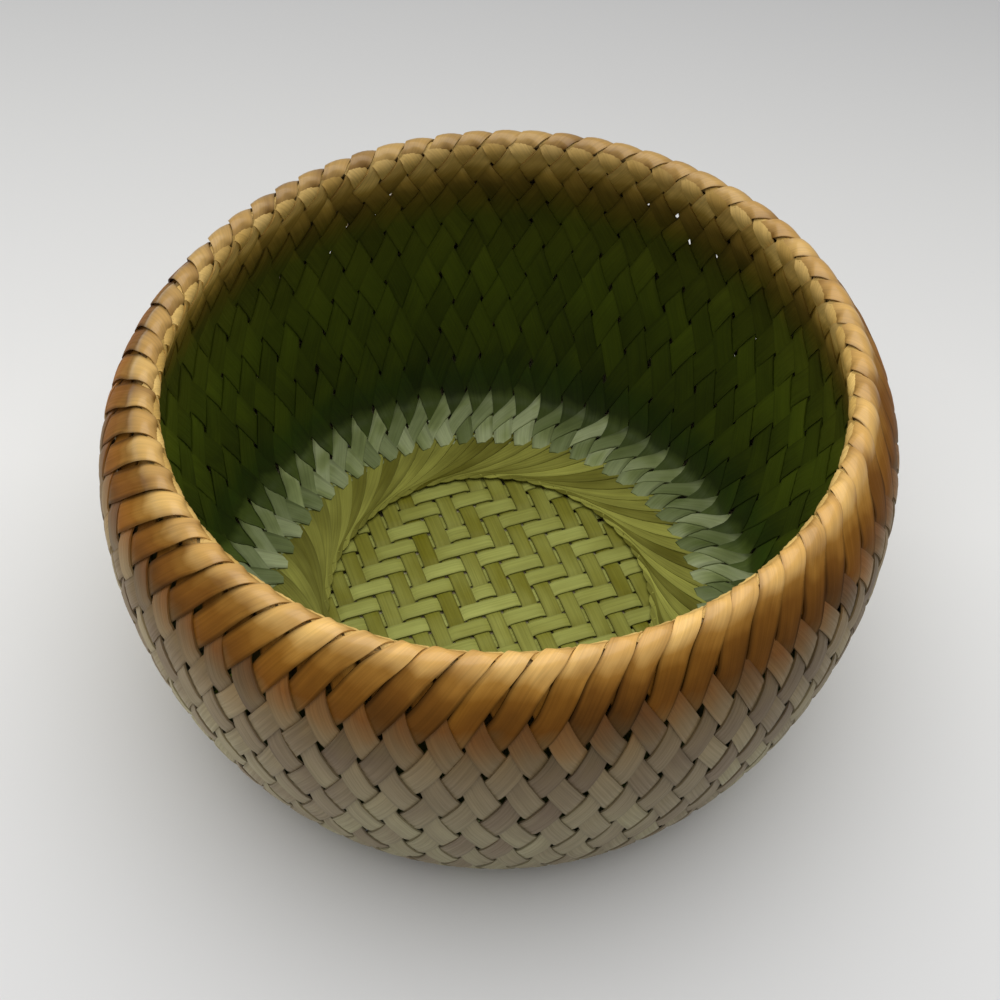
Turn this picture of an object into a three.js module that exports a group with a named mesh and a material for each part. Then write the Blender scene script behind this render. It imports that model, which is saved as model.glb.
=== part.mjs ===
// A small round bamboo basket with a double wall, in millimetres.
//
// The basket stands on the XY plane with +Z up and its origin under its middle. Flat bamboo strips start
// in a twill mat at the floor, swirl out of it in a collar, climb as the inner wall, fold over a hoop at
// the mouth and come down again as the outer wall, to end in a second mat under the base. On both walls
// the strips cross in a plain weave laid on the bias, half of them leaning each way.

import * as THREE from 'three';
import { mergeVertices } from 'three/addons/utils/BufferGeometryUtils.js';

// Form of the body
const HEIGHT = 97;
const BELLY_RADIUS = 90;
const BELLY_HEIGHT = 61;
const FOOT_RADIUS = 68;
const MOUTH_RADIUS = 77;
const LOWER_FULLNESS = 1.62;
const SHOULDER_BEND = 3;
const OVAL_DEPTH = 2.9;
const OVAL_DIRECTION = THREE.MathUtils.degToRad(34);

// Double wall, whose depth at the shoulder is also the width of the rolled rim. Its inner layer bulges
// less than the outer one.
const WALL_DEPTH = 6.6;
const BELLY_HOLLOW = 2;
const INNER_BEND = 1.4;
const LAYER_THICKNESS = 1.3;
const CLEARANCE = 0.3;

// Weave of the walls
const STRIPS_EACH_WAY = 66;
const WEAVE_ROWS = 11;
const ROW_GROWTH = 0.037;
const WEAVE_RELIEF = 0.5;
const LONG_FLOAT_ROWS = 2;

// Rolled rim
const WRAP_THICKNESS = 1.1;
const WRAP_RELIEF = 0.4;
const WRAP_SLANT = 0.8;
const ROLL_FACETS = 4;

// Twill mats of the floor and the base, whose strips share out a little more than the opening's width
const MAT_COVER_RATIO = 1.03;
const STRIP_SPACING = 0.8;
const STRIP_THICKNESS = 0.5;
const STRIP_GAP = 0.3;
const FLOOR_STRIPS = 17;
const BASE_STRIPS = 9;
const TWILL_FLOAT = 2;
const MAT_TURN = THREE.MathUtils.degToRad(24);

// Rings that the mats are caught in, each as wide as it lies inwards from the next
const CORNER_WIDTH = 11;
const COLLAR_WIDTH = 16;
const BASE_RING_WIDTH = 34;
const MAT_OVERLAP = 4;
const COLLAR_LIFT = 0.4;
const COLLAR_TURN = THREE.MathUtils.degToRad(-44);
const CORNER_LIFT = 0.5;
const CORNER_TURN = THREE.MathUtils.degToRad(-8);

// Facets of the plain inner wall
const ROUND_FACETS = 44;
const UPRIGHT_FACETS = 6;

// Radii and heights that follow from the sizes above
const COLLAR_RADIUS = FOOT_RADIUS - CORNER_WIDTH;
const FLOOR_OPENING_RADIUS = COLLAR_RADIUS - COLLAR_WIDTH;
const BASE_OPENING_RADIUS = FOOT_RADIUS - BASE_RING_WIDTH;
const ROLL_RADIUS = WALL_DEPTH / 2;
const SHOULDER_HEIGHT = HEIGHT - ROLL_RADIUS;
const MAT_THICKNESS = 2 * STRIP_THICKNESS + STRIP_GAP;
const BASE_MAT_HEIGHT = LAYER_THICKNESS + CLEARANCE;
const FLOOR_MAT_HEIGHT = BASE_MAT_HEIGHT + MAT_THICKNESS + CLEARANCE;
const COLLAR_HEIGHT = FLOOR_MAT_HEIGHT + MAT_THICKNESS + CLEARANCE;

const PITCH = (2 * Math.PI) / STRIPS_EACH_WAY;

function bamboo(color, roughness) {
  return new THREE.MeshStandardMaterial({ color, roughness, metalness: 0 });
}

const varnishedBamboo = bamboo('#c08a4a', 0.35);
const weatheredBamboo = bamboo('#968a70', 0.6);
const darkGreenBamboo = bamboo('#3c421c', 0.65);
const greenBamboo = bamboo('#929a58', 0.55);
const strawBamboo = bamboo('#8f8d4a', 0.55);
const paleGreenBamboo = bamboo('#94a17c', 0.5);
const hoopBamboo = bamboo('#b79c66', 0.6);

// A handmade basket is not quite round: its mouth is a slight oval that fades to a circle at the foot.
function outOfRound(point) {
  const share = (OVAL_DEPTH / BELLY_RADIUS) * (point.z / HEIGHT);
  const angle = Math.atan2(point.y, point.x);
  const scale = 1 + share * Math.cos(2 * (angle - OVAL_DIRECTION));
  return point.set(point.x * scale, point.y * scale, point.z);
}

function polar(radius, height, turn) {
  const wrapped = ((turn % STRIPS_EACH_WAY) + STRIPS_EACH_WAY) % STRIPS_EACH_WAY;
  const angle = wrapped * PITCH;
  return new THREE.Vector3(radius * Math.cos(angle), radius * Math.sin(angle), height);
}

// Gathers flat faces, each given anticlockwise as seen from outside the piece.
class Facets {
  constructor() {
    this.corners = [];
  }

  face(first, ...others) {
    for (let i = 1; i < others.length; i += 1) {
      this.corners.push(first, others[i - 1], others[i]);
    }
  }

  geometry() {
    const geometry = new THREE.BufferGeometry().setFromPoints(this.corners);
    return shaped(geometry);
  }
}

function shaped(geometry) {
  geometry.deleteAttribute('normal');
  geometry.deleteAttribute('uv');
  const merged = mergeVertices(geometry, 1e-4);
  const positions = merged.getAttribute('position');
  const point = new THREE.Vector3();
  for (let i = 0; i < positions.count; i += 1) {
    outOfRound(point.fromBufferAttribute(positions, i));
    positions.setXYZ(i, point.x, point.y, point.z);
  }
  merged.computeVertexNormals();
  return merged;
}

function piece(name, geometry, material) {
  const mesh = new THREE.Mesh(geometry, material);
  mesh.name = name;
  return mesh;
}

// A solid of revolution from a closed section of [radius, height] points, anticlockwise in that plane.
function revolved(section, segments) {
  const points = section.map(([radius, height]) => new THREE.Vector2(radius, height));
  points.push(points[0].clone());
  const geometry = new THREE.LatheGeometry(points, segments);
  return shaped(geometry.rotateX(Math.PI / 2));
}

// The side of the basket from the shoulder under the rim, over the belly, to the foot. The inset tells
// how deep in the double wall the curve runs: 0 is its outer face and WALL_DEPTH its inner face. The
// hollow takes that much more off the radius at the belly, and a small bend makes the mouth steep.
class WallCurve extends THREE.Curve {
  constructor(inset, hollow = 0, bend = SHOULDER_BEND) {
    super();
    this.inset = inset;
    this.hollow = hollow;
    this.bend = bend;
    this.arcLengthDivisions = 400;
  }

  getPoint(t, target = new THREE.Vector2()) {
    const belly = BELLY_RADIUS - this.inset - this.hollow;
    if (t < 0.5) {
      const lip = MOUTH_RADIUS + ROLL_RADIUS - this.inset;
      const top = SHOULDER_HEIGHT - CLEARANCE;
      const rise = 1 - 2 * t;
      return target.set(
        belly - (belly - lip) * rise ** this.bend,
        BELLY_HEIGHT + (top - BELLY_HEIGHT) * rise,
      );
    }
    const angle = (1 - t) * Math.PI;
    const out = Math.max(Math.sin(angle), 0) ** (2 / LOWER_FULLNESS);
    const down = Math.max(Math.cos(angle), 0) ** (2 / LOWER_FULLNESS);
    return target.set(
      FOOT_RADIUS + (belly - FOOT_RADIUS) * out,
      BELLY_HEIGHT - (BELLY_HEIGHT - this.inset) * down,
    );
  }
}

// Share of the wall's length from the shoulder to a row of the weave. Rows grow taller towards the foot,
// where the same strips share a smaller girth and stand steeper.
function rowPlace(row) {
  const rows = (count) => count + (ROW_GROWTH * count * (count - 1)) / 2;
  return Math.min(rows(row) / rows(WEAVE_ROWS), 1);
}

// The strips that come down from the rim leaning like a slash cover the first rows, then the two
// directions take turns, row by row.
function rises(row) {
  return row < LONG_FLOAT_ROWS || (row - LONG_FLOAT_ROWS) % 2 === 1;
}

// The outer layer of the wall, with its plain weave on the bias. Each diamond between four gaps of the
// weave is one strip passing over another: it is arched across its middle and dives at both ends under
// its neighbours, whose edges stand proud of it.
function outerWall() {
  const facets = new Facets();
  const crest = new WallCurve(0);
  const valley = new WallCurve(WEAVE_RELIEF);
  const back = new WallCurve(LAYER_THICKNESS);

  const on = (curve, row, turn) => {
    const place = curve.getPointAt(rowPlace(row));
    return polar(place.x, place.y, turn);
  };
  const gap = ({ row, turn }) => on(valley, row, turn);
  const crown = (a, b) => {
    const start = crest.getPointAt(rowPlace(a.row));
    const end = crest.getPointAt(rowPlace(b.row));
    const place = crest.getPointAt((rowPlace(a.row) + rowPlace(b.row)) / 2);
    place.x = Math.max(place.x, (start.x + end.x) / 2);
    return polar(place.x, place.y, (a.turn + b.turn) / 2);
  };

  const diamond = (row, turn) => {
    const left = { row, turn: turn - 0.5 };
    const right = { row, turn: turn + 0.5 };
    const top = { row: row - 1, turn };
    const bottom = { row: row + 1, turn };
    const whole = { above: row > 0, below: row < WEAVE_ROWS };
    if (rises(row)) {
      risingStrip(left, right, top, bottom, whole);
    } else {
      fallingStrip(left, right, top, bottom, whole);
    }
  };

  const risingStrip = (left, right, top, bottom, whole) => {
    const upper = whole.above && crown(left, top);
    const lower = whole.below && crown(bottom, right);
    if (whole.above && whole.below) {
      facets.face(gap(left), gap(bottom), lower, upper);
      facets.face(upper, lower, gap(right), gap(top));
    } else if (whole.below) {
      facets.face(gap(left), gap(bottom), lower, gap(right));
    } else {
      facets.face(upper, gap(left), gap(right), gap(top));
    }
    if (whole.above && !rises(top.row)) {
      facets.face(gap(left), upper, gap(top));
    }
    if (whole.below && !rises(bottom.row)) {
      facets.face(gap(bottom), gap(right), lower);
    }
  };

  const fallingStrip = (left, right, top, bottom, whole) => {
    const upper = whole.above && crown(top, right);
    const lower = whole.below && crown(left, bottom);
    if (whole.above && whole.below) {
      facets.face(gap(left), lower, upper, gap(top));
      facets.face(lower, gap(bottom), gap(right), upper);
    } else if (whole.below) {
      facets.face(gap(right), gap(left), lower, gap(bottom));
    } else {
      facets.face(gap(left), gap(right), upper, gap(top));
    }
    if (whole.above && rises(top.row)) {
      facets.face(gap(right), gap(top), upper);
    }
    if (whole.below && rises(bottom.row)) {
      facets.face(gap(left), gap(bottom), lower);
    }
  };

  const shift = (row) => (row % 2) / 2;
  for (let row = 0; row <= WEAVE_ROWS; row += 1) {
    for (let strip = 0; strip < STRIPS_EACH_WAY; strip += 1) {
      diamond(row, strip + 0.5 + shift(row));
    }
  }

  // Smooth back of the layer, on every second row, closed to the face at the shoulder and the foot
  const backRows = [];
  for (let row = 0; row < WEAVE_ROWS; row += 2) {
    backRows.push(row);
  }
  backRows.push(WEAVE_ROWS);
  for (let strip = 0; strip < STRIPS_EACH_WAY; strip += 1) {
    for (let i = 1; i < backRows.length; i += 1) {
      const [upper, lower] = [backRows[i - 1], backRows[i]];
      const high = strip + shift(upper);
      const low = strip + shift(lower);
      facets.face(on(back, upper, high), on(back, upper, high + 1), on(back, lower, low));
      facets.face(on(back, upper, high + 1), on(back, lower, low + 1), on(back, lower, low));
    }
    const foot = strip + shift(WEAVE_ROWS);
    facets.face(on(valley, 0, strip), on(valley, 0, strip + 1), on(back, 0, strip + 1), on(back, 0, strip));
    facets.face(
      on(back, WEAVE_ROWS, foot),
      on(back, WEAVE_ROWS, foot + 1),
      on(valley, WEAVE_ROWS, foot + 1),
      on(valley, WEAVE_ROWS, foot),
    );
  }
  return piece('outer_wall', facets.geometry(), weatheredBamboo);
}

// The inner layer of the wall, from the corner of the floor to the shoulder, with a plain face.
function innerWall() {
  const along = (inset) => {
    return new WallCurve(inset, BELLY_HOLLOW, INNER_BEND).getSpacedPoints(UPRIGHT_FACETS);
  };
  const cavitySide = along(WALL_DEPTH - LAYER_THICKNESS);
  const inside = along(WALL_DEPTH);
  const section = [...cavitySide.reverse(), ...inside].map((point) => [point.x, point.y]);
  return piece('inner_wall', revolved(section, ROUND_FACETS), darkGreenBamboo);
}

// The strips folded over the mouth, as one slanted wrap per strip round a half roll that is open below.
function rimWraps() {
  const facets = new Facets();
  const onRoll = (radius, step, turn) => {
    const angle = (Math.PI * step) / ROLL_FACETS;
    const slant = (WRAP_SLANT * step) / ROLL_FACETS;
    return polar(
      MOUTH_RADIUS + radius * Math.cos(angle),
      SHOULDER_HEIGHT + radius * Math.sin(angle),
      turn + slant,
    );
  };
  const seam = (step, turn) => onRoll(ROLL_RADIUS - WRAP_RELIEF, step, turn);
  const ridge = (step, turn) => onRoll(ROLL_RADIUS, step, turn + 0.5);
  const lining = (step, turn) => onRoll(ROLL_RADIUS - WRAP_THICKNESS, step, turn);
  for (let turn = 0; turn < STRIPS_EACH_WAY; turn += 1) {
    for (let step = 0; step < ROLL_FACETS; step += 1) {
      const next = step + 1;
      facets.face(seam(step, turn), ridge(step, turn), ridge(next, turn), seam(next, turn));
      facets.face(ridge(step, turn), seam(step, turn + 1), seam(next, turn + 1), ridge(next, turn));
      facets.face(lining(step, turn), lining(next, turn), lining(next, turn + 1), lining(step, turn + 1));
    }
    const end = ROLL_FACETS;
    facets.face(ridge(0, turn), seam(0, turn), lining(0, turn));
    facets.face(ridge(0, turn), lining(0, turn), lining(0, turn + 1));
    facets.face(ridge(0, turn), lining(0, turn + 1), seam(0, turn + 1));
    facets.face(ridge(end, turn), lining(end, turn), seam(end, turn));
    facets.face(ridge(end, turn), lining(end, turn + 1), lining(end, turn));
    facets.face(ridge(end, turn), seam(end, turn + 1), lining(end, turn + 1));
  }
  return piece('rim_wraps', facets.geometry(), varnishedBamboo);
}

// The split cane inside the roll, whose upper corners touch the wraps all round.
function rimHoop() {
  const room = (ROLL_RADIUS - WRAP_THICKNESS - CLEARANCE) * Math.SQRT1_2;
  const section = [
    [MOUTH_RADIUS - room, SHOULDER_HEIGHT],
    [MOUTH_RADIUS + room, SHOULDER_HEIGHT],
    [MOUTH_RADIUS + room, SHOULDER_HEIGHT + room],
    [MOUTH_RADIUS - room, SHOULDER_HEIGHT + room],
  ];
  return piece('rim_hoop', revolved(section, STRIPS_EACH_WAY), hoopBamboo);
}

// One strip of a mat, seen from its side: it rises over and dives under the strips that cross it.
function matStripOutline(halfLength, width, crossings) {
  const swing = (STRIP_THICKNESS + STRIP_GAP) / 2;
  const level = ({ isOver }) => (isOver ? swing : -swing);
  const reached = crossings.filter(({ place }) => Math.abs(place) - width / 2 < halfLength);
  const centre = [new THREE.Vector2(-halfLength, level(reached[0]))];
  for (let i = 1; i < reached.length; i += 1) {
    const [from, to] = [reached[i - 1], reached[i]];
    if (from.isOver !== to.isOver) {
      centre.push(new THREE.Vector2(from.place + width / 2, level(from)));
      centre.push(new THREE.Vector2(to.place - width / 2, level(to)));
    }
  }
  centre.push(new THREE.Vector2(halfLength, level(reached.at(-1))));
  const half = STRIP_THICKNESS / 2;
  const below = centre.map((point) => new THREE.Vector2(point.x, point.y - half));
  const above = centre.map((point) => new THREE.Vector2(point.x, point.y + half));
  return new THREE.Shape([...below, ...above.reverse()]);
}

// A mat of single strips in twill, cut to a disc that reaches past its opening, with its lowest face at
// the given height. The twill steps the other way on each side of the middle strip, which makes
// chevrons. The strips that run along are over where those that run across are under.
function twillMat(name, count, opening, height, material) {
  const mat = new THREE.Group();
  const radius = opening + MAT_OVERLAP;
  const pitch = (2 * opening * MAT_COVER_RATIO) / count;
  const width = pitch - STRIP_SPACING;
  const places = Array.from({ length: count }, (_, i) => (i - (count - 1) / 2) * pitch);
  const isLifted = (row, column) => {
    const step = Math.abs(column - (count - 1) / 2) + row - (count - 1);
    return THREE.MathUtils.euclideanModulo(step, 2 * TWILL_FLOAT) < TWILL_FLOAT;
  };
  const strip = (direction, index, turn, overs) => {
    const farEdge = Math.abs(places[index]) + width / 2;
    const halfLength = Math.sqrt(radius ** 2 - farEdge ** 2);
    const crossings = places.map((place, i) => ({ place, isOver: overs(i) }));
    const outline = matStripOutline(halfLength, width, crossings);
    const geometry = new THREE.ExtrudeGeometry(outline, { depth: width, bevelEnabled: false });
    geometry.rotateX(Math.PI / 2);
    geometry.translate(0, places[index] + width / 2, height + MAT_THICKNESS / 2);
    geometry.rotateZ(turn + MAT_TURN);
    const number = String(index + 1).padStart(2, '0');
    mat.add(piece(`${name}_strip_${direction}_${number}`, shaped(geometry), material));
  };
  for (let index = 0; index < count; index += 1) {
    const column = count - 1 - index;
    strip('across', index, 0, (crossing) => isLifted(index, crossing));
    strip('along', index, Math.PI / 2, (crossing) => !isLifted(crossing, column));
  }
  return mat;
}

// A flat ring of strips that lie over each other like pleats. Each pleat is a straight band from the
// inner to the outer edge, turned round the ring, with one long side lifted onto the next pleat.
function pleatedRing(name, { inner, outer, turn, lift, material }) {
  const facets = new Facets();
  const twist = turn / PITCH;
  const edge = (side, twisted, place) => ({
    under: polar(side.radius, side.bottom, place + twisted),
    low: polar(side.radius, side.top - lift, place + twisted),
    high: polar(side.radius, side.top, place + twisted),
  });
  for (let place = 0; place < STRIPS_EACH_WAY; place += 1) {
    const a = edge(inner, 0, place);
    const b = edge(inner, 0, place + 1);
    const c = edge(outer, twist, place);
    const d = edge(outer, twist, place + 1);
    facets.face(a.low, c.low, d.high, b.high);
    facets.face(b.high, d.high, d.low, b.low);
    facets.face(a.under, b.under, d.under, c.under);
    facets.face(a.under, a.low, b.high);
    facets.face(a.under, b.high, b.low);
    facets.face(a.under, b.low, b.under);
    facets.face(c.under, d.high, c.low);
    facets.face(c.under, d.low, d.high);
    facets.face(c.under, d.under, d.low);
  }
  return piece(name, facets.geometry(), material);
}

// The swirl of strips round the floor mat, which holds the mat's ends down.
function floorCollar() {
  const top = COLLAR_HEIGHT + LAYER_THICKNESS;
  return pleatedRing('floor_collar', {
    inner: { radius: FLOOR_OPENING_RADIUS, bottom: COLLAR_HEIGHT, top },
    outer: { radius: COLLAR_RADIUS, bottom: COLLAR_HEIGHT, top },
    turn: COLLAR_TURN,
    lift: COLLAR_LIFT,
    material: strawBamboo,
  });
}

// The slanted blades between the collar and the corner, where the strips turn up into the inner wall.
function floorCorner() {
  return pleatedRing('floor_corner', {
    inner: {
      radius: COLLAR_RADIUS + CLEARANCE,
      bottom: COLLAR_HEIGHT,
      top: COLLAR_HEIGHT + LAYER_THICKNESS,
    },
    outer: {
      radius: FOOT_RADIUS - CLEARANCE,
      bottom: WALL_DEPTH - LAYER_THICKNESS,
      top: WALL_DEPTH,
    },
    turn: CORNER_TURN,
    lift: CORNER_LIFT,
    material: paleGreenBamboo,
  });
}

// The flat ring that the basket stands on. The base mat lies on its inner edge, clear of the ground.
function baseRing() {
  const section = [
    [BASE_OPENING_RADIUS, 0],
    [FOOT_RADIUS - CLEARANCE, 0],
    [FOOT_RADIUS - CLEARANCE, LAYER_THICKNESS],
    [BASE_OPENING_RADIUS, LAYER_THICKNESS],
  ];
  return piece('base_ring', revolved(section, STRIPS_EACH_WAY), weatheredBamboo);
}

const basket = new THREE.Group();
basket.add(outerWall());
basket.add(innerWall());
basket.add(rimWraps());
basket.add(rimHoop());
basket.add(floorCollar());
basket.add(floorCorner());
basket.add(baseRing());
basket.add(twillMat('floor', FLOOR_STRIPS, FLOOR_OPENING_RADIUS, FLOOR_MAT_HEIGHT, greenBamboo));
basket.add(twillMat('base', BASE_STRIPS, BASE_OPENING_RADIUS, BASE_MAT_HEIGHT, weatheredBamboo));

export default basket;
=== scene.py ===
"""Dresses the bamboo basket: every strip of its double wall, rim and mats, and the studio around it.

Shapes are worked out in millimetres and turned to metres where a mesh is made. A place on the basket's
wall is a row and a turn. Rows count the crossings of the weave: row 0 lies just under the outer shoulder,
rows above 0 go down the outside, and rows below 0 go over the rim, down the inside and onto the floor.
"""

import logging
import math
from collections.abc import Callable
from dataclasses import dataclass, field
from enum import Enum
from functools import partial

import bpy
import numpy as np
from mathutils import Matrix, Vector


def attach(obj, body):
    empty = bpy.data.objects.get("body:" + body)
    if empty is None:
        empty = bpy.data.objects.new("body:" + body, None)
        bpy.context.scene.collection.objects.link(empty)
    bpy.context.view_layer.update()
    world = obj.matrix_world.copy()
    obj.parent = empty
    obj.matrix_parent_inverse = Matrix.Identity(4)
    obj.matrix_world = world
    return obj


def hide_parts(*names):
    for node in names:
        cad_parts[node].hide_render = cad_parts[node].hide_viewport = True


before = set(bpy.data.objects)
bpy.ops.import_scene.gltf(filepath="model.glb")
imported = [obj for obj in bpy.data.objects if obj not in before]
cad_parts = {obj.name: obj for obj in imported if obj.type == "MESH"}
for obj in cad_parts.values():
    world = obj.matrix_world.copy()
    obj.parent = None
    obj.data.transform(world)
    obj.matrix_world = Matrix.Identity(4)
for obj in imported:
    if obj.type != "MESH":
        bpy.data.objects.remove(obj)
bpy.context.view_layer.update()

MM = 0.001
STRIPS = 66
PITCH = 2 * math.pi / STRIPS
BODY = "root"
# How steeply a strip dives from one side of the weave to the other.
DIVE = 2.6
# Faces that meet at a greater angle than this are shaded with an edge.
SHARP_ANGLE = math.radians(38)
# Nearly all of a noise pattern lies between these values.
NOISE_REACH = (0.3, 0.7)
# The colour ramps of the finishes reach from the ground to this height in millimetres.
RAMP_HEIGHT = 100.0

log = logging.getLogger("basket")


class Lean(Enum):
    """The way a strip leans on the outside: rising to the right or falling to the right."""

    RISING = -1
    FALLING = 1


def smooth_step(value: np.ndarray, start: float, end: float) -> np.ndarray:
    """Eases from 0 at start to 1 at end, flat at both ends.

    Args:
        value: Where to look.
        start: Value with the result 0.
        end: Value with the result 1, which may lie below start.

    Returns:
        Three times the squared share less twice the cubed share, as an array like value.
    """
    share = np.clip((value - start) / (end - start), 0.0, 1.0)
    return share * share * (3.0 - 2.0 * share)


def both_steps(value: np.ndarray, pairs: tuple[tuple[float, float], ...]) -> np.ndarray:
    """Eases in from both sides, as the product of a smooth step for each pair of a start and an end."""
    return math.prod(smooth_step(value, *pair) for pair in pairs)


def woven(place: np.ndarray) -> np.ndarray:
    """Gives the side of a plainly woven strip along its crossings, with short slopes between.

    The formula is the hyperbolic tangent of a steep cosine, whose peak is at place 0.

    Args:
        place: Distance from the middle of a float, in crossings.

    Returns:
        Values from 1, over, to -1, under.
    """
    return np.tanh(DIVE * np.cos(np.pi * place)) / math.tanh(DIVE)


@dataclass(frozen=True)
class BasketForm:
    """The basket's double wall as one surface, from under the foot over the rim to the floor.

    Attributes:
        height: Height of the rim's crest.
        belly_radius: Radius of the outer face at the belly.
        belly_height: Height of the belly.
        foot_radius: Radius at which the wall passes into the foot.
        mouth_radius: Radius of the middle of the rim's roll.
        lower_fullness: Power of the superellipse below the belly.
        shoulder_bend: Power by which the outer layer leans in above the belly.
        oval_depth: How far the long ends of the oval stand out at the height of the rim.
        oval_direction: Turn of its long axis.
        wall_depth: Depth of the double wall at the shoulder.
        inner_belly_radius: Radius of the inner face at the belly.
        inner_bend: Power by which the inner layer leans in above the belly.
        layer_middle: Depth of a woven layer's middle inside the face that is seen.
        first_row: Length of arc from the shoulder down to row 0.
        row_height: Height of the rows next to the rim.
        rim_row_height: Height of the rows that go over the rim.
        rim_rows: Number of these rows.
        row_growth: Share of row_height by which each row is higher than the last, away from the rim.
        easing_rows: Reach to both sides of row 0 in which the rows pass into those of the rim.
        counted_rows: First and last row of the list of lengths, with counts_per_row entries a row.
        floor_row: Row that lies floor_row_reach past the foot of the inner wall.
        floor_shrink: Share by which the rows are shorter on the floor.
        shrink_rows: Rows past the rim between which they get shorter.
        corner_drop: How far the floor falls within corner_width of the wall.
        corner_twist: Turn of the strips on the floor in pitches, from the first of twist_rows to the last.
        softening: Distance between the places of the mean that rounds the section near the rim. It is
            full up to half of softened_reach from the shoulders and ends at softened_reach.
        weights: Weights of the places of this mean.
        section_steps: Number of steps in which the arc of a section is added up.
    """

    height: float = 97.0
    belly_radius: float = 90.0
    belly_height: float = 61.0
    foot_radius: float = 68.0
    mouth_radius: float = 77.0
    lower_fullness: float = 1.62
    shoulder_bend: float = 3.0
    oval_depth: float = 2.9
    oval_direction: float = math.radians(34)
    wall_depth: float = 6.6
    inner_belly_radius: float = 81.4
    inner_bend: float = 1.4
    layer_middle: float = 0.65
    first_row: float = 1.67
    row_height: float = 7.6
    rim_row_height: float = 5.2
    rim_rows: int = 2
    row_growth: float = 0.037
    easing_rows: float = 0.6
    counted_rows: tuple[int, int] = (-17, 15)
    counts_per_row: int = 200
    floor_row: int = -13
    floor_row_reach: float = 4.5
    floor_shrink: float = 0.42
    shrink_rows: tuple[float, float] = (9.2, 11.6)
    corner_drop: float = 0.5
    corner_width: float = 11.0
    corner_twist: float = 1.1
    twist_rows: tuple[float, float] = (-11.6, -15.0)
    softening: float = 1.4
    softened_reach: float = 9.0
    weights: tuple[int, ...] = (1, 4, 6, 4, 1)
    section_steps: int = 1600

    @property
    def roll_radius(self) -> float:
        """Radius of the half roll of the rim."""
        return self.wall_depth / 2

    @property
    def roll_length(self) -> float:
        """Length of the half roll over its outside."""
        return math.pi * self.roll_radius

    @property
    def shoulder_height(self) -> float:
        """Height at which the wall passes into the roll."""
        return self.height - self.roll_radius

    def warp(self, radius: np.ndarray, turn: np.ndarray, height: np.ndarray) -> np.ndarray:
        """Turns radius, turn and height into points of the slightly oval basket.

        The radius grows by a share that follows the cosine of twice the turn and the height.

        Args:
            radius: Radius of the round basket.
            turn: Angle round the basket in radians.
            height: Height above the ground.

        Returns:
            Points with a last axis of three.
        """
        share = self.oval_depth / self.belly_radius * height / self.height
        radius = radius * (1 + share * np.cos(2 * (turn - self.oval_direction)))
        return np.stack([radius * np.cos(turn), radius * np.sin(turn), height], axis=-1)

    def wall(
        self, share: np.ndarray, inset: np.ndarray, is_inner: bool = False
    ) -> tuple[np.ndarray, np.ndarray]:
        """Gives the section of the wall from the shoulder, at share 0, to the foot, at share 1.

        Above the belly the radius falls off with a power of the rise. Below it the section is a quarter
        of a superellipse. The inner layer bulges less than the outer one, so the wall is hollow.

        Args:
            share: Place on the section, with the belly at one half.
            inset: Depth inside the wall's outer face, measured at the shoulder.
            is_inner: Whether the inner layer is asked for.

        Returns:
            Radius and height.
        """
        belly = (self.inner_belly_radius + self.wall_depth if is_inner else self.belly_radius) - inset
        bend = self.inner_bend if is_inner else self.shoulder_bend
        lip = self.mouth_radius + self.roll_radius - inset
        rise = np.clip(1 - 2 * share, 0, 1)
        upper_radius = belly - (belly - lip) * rise**bend
        upper_height = self.belly_height + (self.shoulder_height - self.belly_height) * rise
        angle = np.clip((1 - share) * np.pi, 0, np.pi / 2)
        power = 2 / self.lower_fullness
        lower_radius = self.foot_radius + (belly - self.foot_radius) * np.sin(angle) ** power
        lower_height = self.belly_height - (self.belly_height - inset) * np.cos(angle) ** power
        is_upper = share < 0.5
        radius = np.where(is_upper, upper_radius, lower_radius)
        return radius, np.where(is_upper, upper_height, lower_height)

    def arc_table(self, inset: float, is_inner: bool = False) -> tuple[np.ndarray, np.ndarray]:
        """Lists shares of the wall's section and the length of arc from the shoulder to each.

        Args:
            inset: Depth inside the wall's outer face, measured at the shoulder.
            is_inner: Whether the inner layer is asked for.

        Returns:
            Lengths and shares, both rising.
        """
        share = np.linspace(0, 1, self.section_steps + 1)
        radius, height = self.wall(share, np.full_like(share, inset), is_inner)
        steps = np.hypot(np.diff(radius), np.diff(height))
        return np.concatenate([[0.0], np.cumsum(steps)]), share

    def run(self, row: np.ndarray) -> np.ndarray:
        """Gives the length of arc from the outer shoulder down to a row, below 0 over the rim.

        The height of a row grows evenly with the count of rows from the rim on both sides. The rows that
        go over the rim are shorter, and the height eases from one to the other round row 0. On the inside
        the rows are spaced so that the floor row reaches its place, and get shorter on the floor.

        Args:
            row: Rows.

        Returns:
            Lengths in millimetres.
        """
        first, last = self.counted_rows
        rows = np.linspace(first, last, (last - first) * self.counts_per_row + 1)
        grown = self.row_height * (1 + self.row_growth * np.maximum(rows - 0.5, 0))
        depth = -self.rim_rows - rows
        shrink = 1 - self.floor_shrink * smooth_step(depth, *self.shrink_rows)
        inner = self.row_height * (1 + self.row_growth * np.maximum(depth - 0.5, 0)) * shrink
        step = rows[1] - rows[0]
        eased = smooth_step(rows, self.easing_rows, -self.easing_rows)
        over = grown + (self.rim_row_height - grown) * eased
        is_inner = (depth > 0) & (rows >= self.floor_row)
        inner_length = self.arc_table(self.wall_depth - self.layer_middle, True)[0][-1]
        start = over[(depth <= 0) & (rows < 0)].sum() * step - self.first_row - self.roll_length
        scale = (inner_length + self.floor_row_reach - start) / (inner[is_inner].sum() * step)
        density = np.where(depth > 0, inner * scale, over)
        lengths = np.concatenate([[0.0], np.cumsum((density[1:] + density[:-1]) / 2 * step)])
        lengths += self.first_row - np.interp(0.0, rows, lengths)
        return np.interp(row, rows, lengths)

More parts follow.
